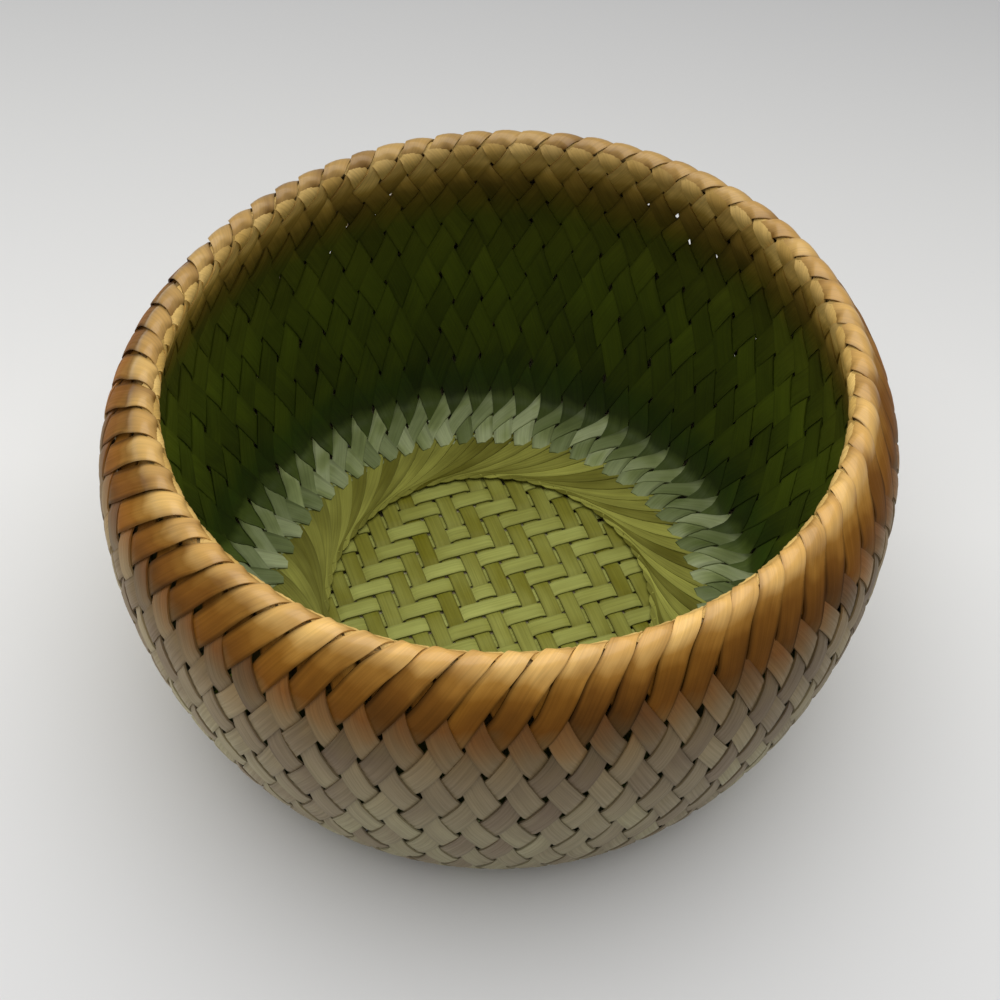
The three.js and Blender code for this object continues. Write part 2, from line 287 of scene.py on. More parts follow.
    def section(self, run: np.ndarray, inset: np.ndarray) -> tuple[np.ndarray, np.ndarray]:
        """Gives the section of the whole double wall, with the rim as an exact half circle.

        Args:
            run: Length of arc from the outer shoulder, below 0 over the rim.
            inset: Depth inside the outer face, or inside the roll.

        Returns:
            Radius and height.
        """
        outer_lengths, outer_shares = self.arc_table(self.layer_middle)
        inner_lengths, inner_shares = self.arc_table(self.wall_depth - self.layer_middle, True)
        outer_radius, outer_height = self.wall(np.interp(run, outer_lengths, outer_shares), inset)
        outer_radius = outer_radius - np.maximum(run - outer_lengths[-1], 0)
        angle = -run / self.roll_radius
        reach = self.roll_radius - inset
        roll_radius = self.mouth_radius + reach * np.cos(angle)
        roll_height = self.shoulder_height + reach * np.sin(angle)
        inner_run = -run - self.roll_length
        inner_share = np.interp(inner_run, inner_lengths, inner_shares)
        inner_radius, inner_height = self.wall(inner_share, self.wall_depth - inset, True)
        beyond = np.maximum(inner_run - inner_lengths[-1], 0)
        inner_radius = inner_radius - beyond
        inner_height = inner_height - self.corner_drop * np.minimum(beyond / self.corner_width, 1)
        radius = np.where(run >= 0, outer_radius, np.where(inner_run < 0, roll_radius, inner_radius))
        height = np.where(run >= 0, outer_height, np.where(inner_run < 0, roll_height, inner_height))
        return radius, height

    def place(self, row: np.ndarray, turn: np.ndarray, lift: np.ndarray) -> np.ndarray:
        """Gives points of the wall's woven layer.

        Near the rim the section is the weighted mean of five places along it, so the wall and the roll
        run into each other without a crease.

        Args:
            row: Rows, as the module explains.
            turn: Angle round the basket in radians.
            lift: Distance from the layer's middle towards the side that is seen.

        Returns:
            Points with a last axis of three.
        """
        run = self.run(row)
        middle = -self.roll_length / 2
        distance = np.abs(run - middle) + middle
        shift = self.softening * smooth_step(distance, self.softened_reach, self.softened_reach / 2)
        radius, height = 0.0, 0.0
        for step, weight in enumerate(self.weights, -(len(self.weights) // 2)):
            part = self.section(run + step * shift, self.layer_middle - lift)
            radius = radius + part[0] * weight / sum(self.weights)
            height = height + part[1] * weight / sum(self.weights)
        twist = self.corner_twist * PITCH * smooth_step(row, *self.twist_rows)
        return self.warp(radius, turn + twist, np.maximum(height, 0.0))


@dataclass(frozen=True)
class SwirlForm:
    """A flat ring of strips that leave its inner edge along the edge and turn outwards.

    Attributes:
        form: Form of the basket, for its slight oval.
        inner_radius: Radius of the ring's inner edge.
        outer_radius: Radius of its outer edge.
        middle: Height of the strips' middle.
        facing: 1 if the ring is seen from above, -1 if from below.
        first_angle: Angle between a strip and the ring at the inner edge, last_angle at the outer one.
        growth: Power by which the angle grows.
        edge_slope: How far inwards a strip would run on from the inner edge, for each share of its length.
        shares: Number of shares in the list of the spiral.
    """

    form: BasketForm
    inner_radius: float
    outer_radius: float
    middle: float
    facing: float
    first_angle: float = math.radians(1.2)
    last_angle: float = math.radians(62)
    growth: float = 1.35
    edge_slope: float = 3.0
    shares: int = 401

    def spiral(self) -> tuple[np.ndarray, np.ndarray, np.ndarray]:
        """Lists the spiral that one strip follows, from share 0 at the inner edge to share 1.

        The angle between the strip and the ring grows with a power of the length. Its sine gives the
        step outwards and its cosine, divided by the radius, the step round the ring.

        Returns:
            Shares, radii and turns.
        """
        share = np.linspace(0, 1, self.shares)
        angle = self.first_angle + (self.last_angle - self.first_angle) * share**self.growth
        outward = np.concatenate([[0.0], np.cumsum(np.sin(angle[1:]) + np.sin(angle[:-1]))])
        length = (self.outer_radius - self.inner_radius) / outward[-1]
        radius = self.inner_radius + outward * length
        along = (np.cos(angle[1:]) / radius[1:] + np.cos(angle[:-1]) / radius[:-1]) * length
        return share, radius, np.concatenate([[0.0], np.cumsum(along)])

    def place(self, row: np.ndarray, turn: np.ndarray, lift: np.ndarray) -> np.ndarray:
        """Gives points of the ring.

        Args:
            row: Share of the spiral.
            turn: Angle round the basket in radians.
            lift: Distance from the strips' middle towards the side that is seen.

        Returns:
            Points with a last axis of three.
        """
        share, radii, _ = self.spiral()
        radius = np.interp(row, share, radii) + np.minimum(row, 0) * self.edge_slope
        return self.form.warp(radius, turn, np.maximum(self.middle + self.facing * lift, 0.0))

    def turn(self, row: np.ndarray) -> np.ndarray:
        """Gives the turn of the spiral at a share, less going outwards."""
        share, _, turns = self.spiral()
        return -np.interp(row, share, turns)


@dataclass(frozen=True)
class Strips:
    """How a set of equal strips is laid round the basket.

    Attributes:
        place: Surface that the strips lie on, from row, turn and lift to points.
        rows: Rows at which the strips' cross sections stand.
        turn: Turn of the first strip's middle line at each row.
        lift: Lift of the strips, from row, offset to the side in pitches and share of the half width.
        width: Widths of the strips at each row, from row and the room that the pitch gives.
        thickness: Thickness of a strip.
        arch: How far a strip's middle stands above its edges.
        seed: Seed of the strips' differences.
        columns: Number of points across a strip.
        unevenness: Greatest difference of a strip's width from the mean, as a share.
        sway: How far a strip strays to the side, in pitches.
        waves: Two waves that it strays by, as radians for each row and share of the sway.
    """

    place: Callable[[np.ndarray, np.ndarray, np.ndarray], np.ndarray]
    rows: np.ndarray
    turn: Callable[[np.ndarray], np.ndarray]
    lift: Callable[[np.ndarray, np.ndarray, np.ndarray], np.ndarray]
    width: Callable[[np.ndarray, np.ndarray], np.ndarray]
    thickness: float = 0.45
    arch: float = 0.1
    seed: int = 1
    columns: int = 4
    unevenness: float = 0.05
    sway: float = 0.045
    waves: tuple[tuple[float, float], ...] = ((0.9, 1.0), (2.1, 0.6))

    def line(self, row: np.ndarray) -> np.ndarray:
        """Gives the turn of every strip's middle line at rows that are listed by strip."""
        return self.turn(row) + np.arange(STRIPS)[:, None] * PITCH

    def sections(self) -> tuple[np.ndarray, np.ndarray, np.ndarray]:
        """Works out the cross sections of all strips.

        Each strip's middle line is turned by one pitch from the last. The way across a strip is the cross
        product of the surface's normal and the line's direction, written as steps in row and turn, so
        that points to the side stay on the surface. The upper side is arched as a parabola.

        Returns:
            Points by strip, section and place round the section, their length along and across in
            millimetres, and one tone from 0 to 1 for each strip.
        """
        chance = np.random.default_rng(self.seed)
        tones = chance.random(STRIPS)
        wider = 1 + chance.uniform(-self.unevenness, self.unevenness, STRIPS)
        phase = chance.uniform(0, 2 * np.pi, (2, STRIPS, 1))
        row = np.broadcast_to(self.rows, (STRIPS, len(self.rows)))
        number = np.arange(STRIPS)[:, None]
        stray = sum(share * np.sin(row * wave + start) for (wave, share), start in zip(self.waves, phase))

        # Steps in row and in turn over which the surface's directions are taken.
        tiny = 0.02
        slim = 1e-4
        flat = np.zeros_like(row)
        middle = self.line(row)
        ahead = self.place(row + tiny, self.line(row + tiny), flat)
        along = ahead - self.place(row - tiny, self.line(row - tiny), flat)
        by_row = (self.place(row + tiny, middle, flat) - self.place(row - tiny, middle, flat)) / (2 * tiny)
        by_turn = (self.place(row, middle + slim, flat) - self.place(row, middle - slim, flat)) / (2 * slim)
        along /= np.linalg.norm(along, axis=-1, keepdims=True)
        normal = np.cross(by_turn, by_row)
        normal /= np.linalg.norm(normal, axis=-1, keepdims=True)
        across = np.cross(normal, along)
        room = PITCH * np.linalg.norm(np.cross(along, by_turn), axis=-1)
        row_row = (by_row * by_row).sum(-1)
        row_turn = (by_row * by_turn).sum(-1)
        turn_turn = (by_turn * by_turn).sum(-1)
        across_row = (across * by_row).sum(-1)
        across_turn = (across * by_turn).sum(-1)
        size = row_row * turn_turn - row_turn**2
        step_row = (across_row * turn_turn - across_turn * row_turn) / size
        step_turn = (across_turn * row_row - across_row * row_turn) / size

        upper = np.linspace(-1, 1, self.columns)
        share = np.concatenate([upper, upper[::-1]])
        side = np.concatenate([np.ones(self.columns), -np.ones(self.columns)])
        half = self.width(row, room) / 2 * wider[:, None]
        aside = half[..., None] * share
        at_row = row[..., None] + step_row[..., None] * aside
        at_turn = middle[..., None] + step_turn[..., None] * aside
        offset = (at_turn - self.turn(at_row) - number[..., None] * PITCH) / PITCH
        lift = self.lift(at_row, offset, share + 0 * at_row)
        lift = lift + self.arch * (1 - share**2) + side * self.thickness / 2
        points = self.place(at_row, at_turn + self.sway * PITCH * stray[..., None], lift)
        centre = self.place(row, middle, flat)
        steps = np.linalg.norm(np.diff(centre, axis=1), axis=-1)
        length = np.concatenate([np.zeros((STRIPS, 1)), np.cumsum(steps, axis=1)], axis=1)
        chart = np.stack([length[..., None] + 0 * aside, aside], axis=-1)
        return points, chart, tones


def tube_faces(strips: int, sections: int, around: int) -> np.ndarray:
    """Lists the four-sided faces of closed strips whose sections have an even number of points.

    Args:
        strips: Number of strips.
        sections: Number of sections of a strip.
        around: Number of points of a section.

    Returns:
        Rows of four point numbers.
    """
    number = np.arange(strips * sections * around).reshape(strips, sections, around)
    onward = np.roll(number, -1, axis=2)
    sides = np.stack([number[:, :-1], onward[:, :-1], onward[:, 1:], number[:, 1:]], axis=-1).reshape(-1, 4)
    half = around // 2
    left = np.arange(half - 1)
    ends = np.stack([left, around - 1 - left, around - 2 - left, left + 1], axis=-1)
    first = number[:, 0][:, ends].reshape(-1, 4)
    last = number[:, -1][:, ends[:, ::-1]].reshape(-1, 4)
    return np.concatenate([sides, first, last])


def strip_mesh(name: str, points: np.ndarray, chart: np.ndarray, tones: np.ndarray) -> bpy.types.Mesh:
    """Makes the mesh of a set of closed strips.

    Args:
        name: Name of the mesh.
        points: Points in millimetres, by strip, section and place round the section.
        chart: Length along and across in millimetres for each point.
        tones: One tone for each strip.

    Returns:
        A mesh in metres with outward faces, a UV map "strip" and an attribute "tone".
    """
    strips, sections, around, _ = points.shape
    faces = tube_faces(strips, sections, around)
    flat = points.reshape(-1, 3) * MM
    corners = flat[faces]
    # The faces' halves and their places add up to a volume, which is below 0 where they face inwards.
    halves = np.cross(corners[:, 1] - corners[:, 0], corners[:, 2] - corners[:, 0])
    halves += np.cross(corners[:, 2] - corners[:, 0], corners[:, 3] - corners[:, 0])
    if (halves * corners[:, 0]).sum() < 0:
        faces = faces[:, ::-1]
    mesh = bpy.data.meshes.new(name)
    mesh.vertices.add(len(flat))
    mesh.vertices.foreach_set("co", flat.astype(np.float32).ravel())
    mesh.loops.add(faces.size)
    mesh.loops.foreach_set("vertex_index", faces.astype(np.int32).ravel())
    mesh.polygons.add(len(faces))
    mesh.polygons.foreach_set("loop_start", np.arange(0, faces.size, 4, dtype=np.int32))
    mesh.update(calc_edges=True)
    uv = mesh.uv_layers.new(name="strip")
    uv.data.foreach_set("uv", chart.reshape(-1, 2)[faces.ravel()].astype(np.float32).ravel())
    tone = mesh.attributes.new("tone", "FLOAT", "POINT")
    tone.data.foreach_set("value", np.repeat(tones, sections * around).astype(np.float32))
    mesh.shade_smooth()
    mesh.set_sharp_from_angle(angle=SHARP_ANGLE)
    mesh.validate()
    return mesh


def add_piece(mesh: bpy.types.Mesh, material: bpy.types.Material, nodes: list[str]) -> None:
    """Puts a mesh into the scene as a piece of the basket.

    Args:
        mesh: The piece's mesh, which names it.
        material: Its material.
        nodes: CAD nodes that it stands for.
    """
    mesh.materials.append(material)
    piece = bpy.data.objects.new(mesh.name, mesh)
    bpy.context.scene.collection.objects.link(piece)
    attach(piece, BODY)
    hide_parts(*nodes)
    places = np.empty(3 * len(mesh.vertices), dtype=np.float32)
    mesh.vertices.foreach_get("co", places)
    places = places.reshape(-1, 3) / MM
    low, high = places.min(axis=0).round(1), places.max(axis=0).round(1)
    log.info("%s: %d faces, %s to %s mm", mesh.name, len(mesh.polygons), low, high)


def linear(colour: str) -> tuple[float, float, float, float]:
    """Turns an sRGB hex colour into linear red, green, blue and full alpha.

    A value near black is divided by 12.92. Any other is shifted by 0.055 and raised to the power of 2.4.

    Args:
        colour: Such as #c08a4a.

    Returns:
        Four numbers from 0 to 1.
    """
    values = [int(colour[i : i + 2], 16) / 255 for i in (1, 3, 5)]
    red, green, blue = [v / 12.92 if v <= 0.04045 else ((v + 0.055) / 1.055) ** 2.4 for v in values]
    return red, green, blue, 1.0


def empty_material(name: str) -> bpy.types.Material:
    """Makes a material that has no nodes yet.

    Args:
        name: Name of the material.

    Returns:
        The material.
    """
    material = bpy.data.materials.new(name)
    material.use_nodes = True
    material.node_tree.nodes.clear()
    return material


def add_node(
    tree: bpy.types.NodeTree,
    kind: str,
    values: dict[int | str, object] | None = None,
    links: dict[int | str, bpy.types.Node | bpy.types.NodeSocket] | None = None,
    stops: dict[float, str] | None = None,
    **settings: object,
) -> bpy.types.Node:
    """Adds a node to a material.

    Args:
        tree: Node tree of the material.
        kind: Kind of the node, such as Mix.
        values: Values of input sockets, by name or number.
        links: Outputs to link to input sockets, by name or number, or nodes for their first outputs.
        stops: Hex colours of a colour ramp, by place.
        settings: Other properties of the node.

    Returns:
        The new node.
    """
    node = tree.nodes.new("ShaderNode" + kind)
    for name, value in settings.items():
        setattr(node, name, value)
    for socket, value in (values or {}).items():
        node.inputs[socket].default_value = value
    for socket, source in (links or {}).items():
        output = source.outputs[0] if isinstance(source, bpy.types.Node) else source
        tree.links.new(output, node.inputs[socket])
    if stops:
        ramp = node.color_ramp
        while len(ramp.elements) < len(stops):
            ramp.elements.new(0.5)
        while len(ramp.elements) > len(stops):
            ramp.elements.remove(ramp.elements[-1])
        for element, (place, colour) in zip(ramp.elements, sorted(stops.items())):
            element.position = place
            element.color = linear(colour)
    return node


def span(low: float, high: float, start: float = 0.0, end: float = 1.0) -> dict[int | str, object]:
    """Gives the values of a node that maps low to start and high to end."""
    return {"From Min": low, "From Max": high, "To Min": start, "To Max": end}


@dataclass(frozen=True)
class BambooFinish:
    """Split bamboo: long fibres along the strip, each strip of its own tone, with painted shade along its
    edges where the strips meet.

    The colours are given by height in millimetres above the ground, because varnish and age change them
    from the rim down, and because painted shade and painted highlights that follow the height are laid into
    them. Other heights and depths are in metres.

    Attributes:
        name: Name of the material.
        pale: Colours of the palest strips by height.
        deep: Colours of the darkest strips by height.
        drift: How far patches move these heights up and down.
        tone_share: How far a strip's own tone takes it from deep to pale.
        mottle: How far the patches take it from deep to pale, at least and at most.
        roughness: Least and greatest roughness.
        coat: Weight of the varnish at the crest of the rim.
        coat_heights: Heights between which the varnish, worn off below, comes in.
        coat_roughness: Roughness of the varnish.
        shine: Strength of the bamboo's own reflections.
        near_shade: Brightness at the near end of shade_depth, painted light and shade for light that falls
            unevenly round the basket.
        far_shade: Brightness painted at its far end.
        shade_axis: Direction across the basket, backwards and to the left, along which this painted
            brightness changes.
        shade_depth: Where the near and the far brightness begin along shade_axis.
        crest_shade: Brightness at the far end of crest_depth on the crest of the rim, painted shade where
            the crest is darker.
        crest_depth: Where the near and the far brightness begin on the crest of the rim.
        crest_heights: Heights between which the crest's painted brightness takes over.
        fibre: How much the fibres darken the colour.
        fibre_tones: Values of the noise at the darkest and the lightest fibres.
        light_fibre: Brightness of the lightest fibres.
        relief: Strength and height of the fibres' relief.
        edge: How much painted shade darkens the strip's edges.
        edge_start: Share of half_width from which they darken.
        half_width: Distance in millimetres from the strip's middle to its edge.
        fibre_size: Fibres in a millimetre along and across, and the difference from tone to tone.
        patch_size: The same for blotches of the cane, 16 mm long and 7 mm wide.
    """

    name: str
    pale: dict[float, str]
    deep: dict[float, str]
    drift: float = 0.002
    tone_share: float = 0.7
    mottle: tuple[float, float] = (-0.05, 0.35)
    roughness: tuple[float, float] = (0.45, 0.65)
    coat: float = 0.0
    coat_heights: tuple[float, float] = (0.0935, 0.0965)
    coat_roughness: float = 0.3
    shine: float = 0.4
    near_shade: float = 1.0
    far_shade: float = 1.0
    shade_axis: tuple[float, float, float] = (-0.4, 0.92, 0.0)
    shade_depth: tuple[float, float] = (-0.078, 0.029)
    crest_shade: float = 1.0
    crest_depth: tuple[float, float] = (-0.072, 0.072)
    crest_heights: tuple[float, float] = (0.087, 0.093)
    fibre: float = 0.25
    fibre_tones: tuple[float, float] = (0.32, 0.62)
    light_fibre: float = 1.04
    relief: tuple[float, float] = (0.35, 0.00012)
    edge: float = 0.3
    edge_start: float = 0.72
    half_width: float = 3.0
    # Fibres are drawn 0.45 mm wide, about three times their real width, so that they show, and 26 mm long.
    fibre_size: tuple[float, float, float] = (1 / 26, 1 / 0.45, 61.0)
    patch_size: tuple[float, float, float] = (1 / 16, 1 / 7, 37.0)

    def body(
        self,
        tree: bpy.types.NodeTree,
        level: bpy.types.Node,
        tone: bpy.types.NodeSocket,
        patches: bpy.types.Node,
    ) -> bpy.types.NodeSocket:
        """Adds the colour, which follows the height, with the painted shade and highlights that the height
        carries, the strip's own tone and the patches.

        Args:
            tree: Node tree of the material.
            level: Height above the ground, shifted by the patches.
            tone: The strip's own tone.
            patches: Noise of the patches.

        Returns:
            The colour.
        """
        share = add_node(tree, "Math", {1: 1 / (RAMP_HEIGHT * MM)}, {0: level}, operation="MULTIPLY")
        ramps = [{at / RAMP_HEIGHT: hue for at, hue in side.items()} for side in (self.deep, self.pale)]
        deep, pale = [add_node(tree, "ValToRGB", links={0: share}, stops=ramp) for ramp in ramps]
        own = add_node(tree, "Math", {1: self.tone_share}, {0: tone}, operation="MULTIPLY")
        mottle = add_node(tree, "MapRange", span(*NOISE_REACH, *self.mottle), {"Value": patches})
        blend = add_node(tree, "Math", links={0: own, 1: mottle}, operation="ADD", use_clamp=True)
        mix = add_node(tree, "Mix", links={0: blend, 6: deep, 7: pale}, data_type="RGBA")
        return mix.outputs[2]

    def painted_light(
        self, tree: bpy.types.NodeTree, place: bpy.types.NodeSocket, level: bpy.types.Node
    ) -> bpy.types.Node:
        """Adds painted light and shade: a brightness that changes across the basket and on its crest, for
        light that falls unevenly on it.

        Args:
            tree: Node tree of the material.
            place: Place on the basket.
            level: Height above the ground, shifted by the patches.

        Returns:
            The brightness.
        """
        # Painted light and shade: the brightness follows the place along shade_axis, on the wall and on the
        # crest.
        depth = add_node(tree, "VectorMath", {1: self.shade_axis}, {0: place}, operation="DOT_PRODUCT")
        source = {"Value": depth.outputs["Value"]}
        wall = span(*self.shade_depth, self.near_shade, self.far_shade)
        crest = span(*self.crest_depth, self.near_shade, self.crest_shade)
        low, high = [add_node(tree, "MapRange", values, source) for values in (wall, crest)]
        rise = add_node(tree, "MapRange", span(*self.crest_heights), {"Value": level})
        return add_node(tree, "Mix", links={0: rise, 2: low, 3: high})

    def fibres_and_edge_shade(
        self, tree: bpy.types.NodeTree, across: bpy.types.NodeSocket, fibres: bpy.types.Node
    ) -> bpy.types.Node:
        """Adds the brightness of the fibres, and the painted shade along the strip's edges.

        Args:
            tree: Node tree of the material.
            across: Distance across the strip from its middle.
            fibres: Noise of the fibres.

        Returns:
            The brightness.
        """
        tones = span(*self.fibre_tones, 1 - self.fibre, self.light_fibre)
        streak = add_node(tree, "MapRange", tones, {"Value": fibres})
        distance = add_node(tree, "Math", links={0: across}, operation="ABSOLUTE")
        # Painted shade: the colour darkens towards the strip's edges, where its neighbours meet it.
        fall = span(self.half_width * self.edge_start, self.half_width, 1.0, 1 - self.edge)
        edge = add_node(tree, "MapRange", fall, {"Value": distance}, interpolation_type="SMOOTHSTEP")
        return add_node(tree, "Math", links={0: streak, 1: edge}, operation="MULTIPLY")

    def material(self) -> bpy.types.Material:
        """Builds the material's nodes and returns it."""
        material = empty_material(self.name)
        tree = material.node_tree
        chart = add_node(tree, "UVMap", uv_map="strip")
        split = add_node(tree, "SeparateXYZ", links={0: chart})
        along, across = split.outputs["X"], split.outputs["Y"]
        tone = add_node(tree, "Attribute", attribute_name="tone").outputs["Fac"]
        spot = add_node(tree, "CombineXYZ", links={0: along, 1: across, 2: tone})
        thin, broad = [
            add_node(tree, "VectorMath", {1: size}, {0: spot}, operation="MULTIPLY")
            for size in (self.fibre_size, self.patch_size)
        ]
        fine = {"Scale": 1.0, "Detail": 3.0, "Roughness": 0.6}
        fibres = add_node(tree, "TexNoise", fine, {"Vector": thin})
        patches = add_node(tree, "TexNoise", {"Scale": 1.0, "Detail": 2.0}, {"Vector": broad})
        place = add_node(tree, "TexCoord").outputs["Object"]
        height = add_node(tree, "SeparateXYZ", links={0: place}).outputs["Z"]
        shift = span(*NOISE_REACH, -self.drift, self.drift)
        drift = add_node(tree, "MapRange", shift, {"Value": patches})
        level = add_node(tree, "Math", links={0: height, 1: drift}, operation="ADD")
        fibres_and_edge_shade = self.fibres_and_edge_shade(tree, across, fibres)
        painted_light = self.painted_light(tree, place, level)
        shade = add_node(tree, "Math", links={0: fibres_and_edge_shade, 1: painted_light}, operation="MULTIPLY")
        body = self.body(tree, level, tone, patches)
        colour = add_node(tree, "VectorMath", links={0: body, "Scale": shade}, operation="SCALE")
        gloss = span(*NOISE_REACH, *self.roughness[::-1])
        rough = add_node(tree, "MapRange", gloss, {"Value": fibres})
        strength, depth = self.relief
        relief = add_node(tree, "Bump", {"Strength": strength, "Distance": depth}, {"Height": fibres})
        coat = add_node(tree, "MapRange", span(*self.coat_heights, 0.0, self.coat), {"Value": height})
        shader = add_node(
            tree,
            "BsdfPrincipled",
            {"Specular IOR Level": self.shine, "Coat Roughness": self.coat_roughness},
            {"Base Color": colour, "Coat Weight": coat, "Roughness": rough, "Normal": relief},
        )
        add_node(tree, "OutputMaterial", links={0: shader})
        return material


@dataclass(frozen=True)
class PaperFinish:
    """Matt background paper: plain, without grain or gloss.

    Attributes:
        name: Name of the material.
        greys: Colours by share of depth, which follow the light that falls on the photograph's backdrop.
        depth: Where the first and the last grey lie, in metres backwards from the basket.
        roughness: Roughness of the paper.
        shine: Strength of its reflections.
    """

    name: str
    greys: dict[float, str]
    depth: tuple[float, float]
    roughness: float = 0.9
    shine: float = 0.1

    def material(self) -> bpy.types.Material:
        """Builds the material's nodes and returns it."""
        material = empty_material(self.name)
        tree = material.node_tree
        place = add_node(tree, "TexCoord").outputs["Object"]
        split = add_node(tree, "SeparateXYZ", links={0: place})
        depth = add_node(tree, "MapRange", span(*self.depth), {"Value": split.outputs["Y"]})
        grey = add_node(tree, "ValToRGB", links={0: depth}, stops=self.greys)
        values = {"Roughness": self.roughness, "Specular IOR Level": self.shine}
        shader = add_node(tree, "BsdfPrincipled", values, {"Base Color": grey})
        add_node(tree, "OutputMaterial", links={0: shader})
        return material


# Split bamboo, scraped and left bare, that has gone grey at the foot: dry and matt, with fine streaks along
# every strip and hardly a glint. The brown under the shoulder is partly its own colour and partly painted
# shade, and the near white gold at the top of the ramps is a painted highlight on the crest.
WEATHERED = BambooFinish(
    name="weathered_bamboo",
    # Painted shade darkens these colours from 80 to 90 mm, under the shoulder, and a painted highlight
    # lightens them from 95.5 mm up, on the crest.
    pale={
        0: "#989373", 45: "#9c9472", 68: "#928261", 76: "#8c754f", 80: "#866336", 84: "#7b4d18",
        87: "#7b4f19", 90: "#885a1d", 93: "#b4833a", 95.5: "#efc172", 97: "#ffcf78",
    },
    deep={
        0: "#7c6d57", 45: "#7b6a54", 68: "#685641", 76: "#5d4d34", 80: "#543e23", 84: "#533412",
        87: "#5c3913", 90: "#6d4518", 93: "#946629", 95.5: "#cc9c54", 97: "#daa656",
    },
    roughness=(0.5, 0.68),
    shine=0.22,
    # Painted light: the left and back of the outer wall are made brighter than its front.
    far_shade=2.2,
    edge=0.14,
    fibre=0.18,
)
# The same split bamboo where it wraps the rim, brushed with clear varnish that hands have worn off below
# the crest: smooth amber and a soft gloss along the crest. The dark line between the wraps is partly the
# gap between them and partly painted shade along their edges.
VARNISHED = BambooFinish(
    name="varnished_bamboo",
    pale=WEATHERED.pale,
    deep=WEATHERED.deep,
    roughness=(0.45, 0.6),
    coat=0.9,
    shine=0.03,
    # Painted light: below the crest the left and back of the rim are made brighter.
    far_shade=2.2,
    # Painted shade: the crest is made darker towards its back.
    crest_shade=0.5,
    fibre=0.14,
    edge=0.5,
    half_width=2.95,
)
# Split bamboo dyed green in the piece: matt and deep. Low in the hollow it is nearly black, partly its own
# dark green and partly painted shade, and towards the rim it turns amber, partly the bare wood where the
# dye ends and partly painted light.
DARK_GREEN = BambooFinish(
    name="dark_green_bamboo",
    pale={
        7: "#4a581f", 9: "#2f3c0c", 13: "#2f410c", 20: "#414e0c", 45: "#4f5d10", 66: "#575f15",
        74: "#6b6018", 80: "#846d29", 86: "#b79445", 90: "#e8c474", 97: "#c8a868",
    },
    deep={
        7: "#344014", 9: "#1f2a06", 13: "#202d06", 20: "#2a3406", 45: "#374208", 66: "#3e430a",
        74: "#4c410c", 80: "#5f4b18", 86: "#8e702e", 90: "#b6924a", 97: "#98783c",
    },
    roughness=(0.5, 0.7),
    shine=0.2,
    # Painted light: the sides of the inner wall are made brighter than its back.
    near_shade=1.55,
    shade_axis=(0.0, 1.0, 0.0),
    shade_depth=(0.01, 0.065),
    crest_depth=(0.01, 0.065),
    fibre=0.16,
    edge=0.15,
)
# The ends of the same strips, split thin and dried with little dye: pale green blades, palest where they
# lie flat in the corner, partly their own colour and partly a painted highlight.
PALE_GREEN = BambooFinish(
    name="pale_green_bamboo",
    pale={5.5: "#c2cc9a", 7: "#9ca86c", 9: "#5e6c32"},
    deep={5.5: "#606e36", 7: "#4e5c28", 9: "#34401a"},
    shine=0.25,
    fibre=0.16,
    edge=0.2,
    half_width=2.0,
)
# Narrow strips split from the inside of the cane and dried: dull straw yellow, every strip of its own
# tone from pale straw to olive brown.
STRAW = BambooFinish(
    name="straw_bamboo",
    pale={0: "#b2b254"},
    deep={0: "#5c5812"},
    shine=0.15,
    fibre=0.22,
    edge=0.12,
    half_width=2.1,
)
# Narrow strips with the cane's green skin left on, dried: yellowish green and matt, with painted shade
# along the cuts where the strips meet.
GREEN_MAT = BambooFinish(
    name="green_mat_bamboo",
    pale={0: "#aeb25e"},
    deep={0: "#767216"},
    shine=0.15,
    fibre=0.18,
    edge=0.25,
    half_width=2.05,
)
# A bare length of split cane, bent into a ring: plain tan wood with long fibres.
HOOP = BambooFinish(
    name="split_hoop_bamboo",
    pale={0: "#b79c66"},
    deep={0: "#a58a56"},
)
# Matt paper from a roll, laid flat under the basket: pale and plain, with painted shade that makes it
# greyer to the back.
PAPER = PaperFinish(
    name="studio_paper",
    greys={0.0: "#e3e3e3", 0.4: "#e9e9e8", 0.75: "#d0d0cf", 1.0: "#bababa"},
    depth=(-0.12, 0.28),
)


@dataclass(frozen=True)
class Region:
    """A region of the wall. Its rising strips are one piece and its falling strips another.

    Attributes:
        name: First word of the pieces' names.
        finish: Finish of the strips.
        slot: Material slot of the record; not used.
        node: CAD node that the pieces stand for.
        rising: Rows where the rising strips begin and end.
        falling: Rows where the falling strips begin and end.
        columns: Number of points across a rising and a falling strip.
        steps_per_row: Number of cross sections for each row.
    """

    name: str
    finish: BambooFinish
    slot: str
    node: str
    rising: tuple[float, float]
    falling: tuple[float, float]
    columns: tuple[int, int] = (4, 4)
    steps_per_row: int = 6


# The strips run through all regions. They are cut where they dive under others, and their differences
# hang on the strip and the row alone, so that no cut shows.
REGIONS = (
    Region("outer", WEATHERED, "outer_weave", "outer_wall", rising=(2, 12.4), falling=(1, 12.4)),
    Region(
        "rim",
        VARNISHED,
        "varnished_rim",
        "rim_wraps",
        rising=(-2, 2),
        falling=(-1, 1),
        columns=(6, 5),
        steps_per_row=12,
    ),
    Region("inner", DARK_GREEN, "inner_weave", "inner_wall", rising=(-12, -2), falling=(-13, -1)),
    Region("corner", PALE_GREEN, "pale_corner", "floor_corner", rising=(-14.3, -12), falling=(-14.5, -13)),
)


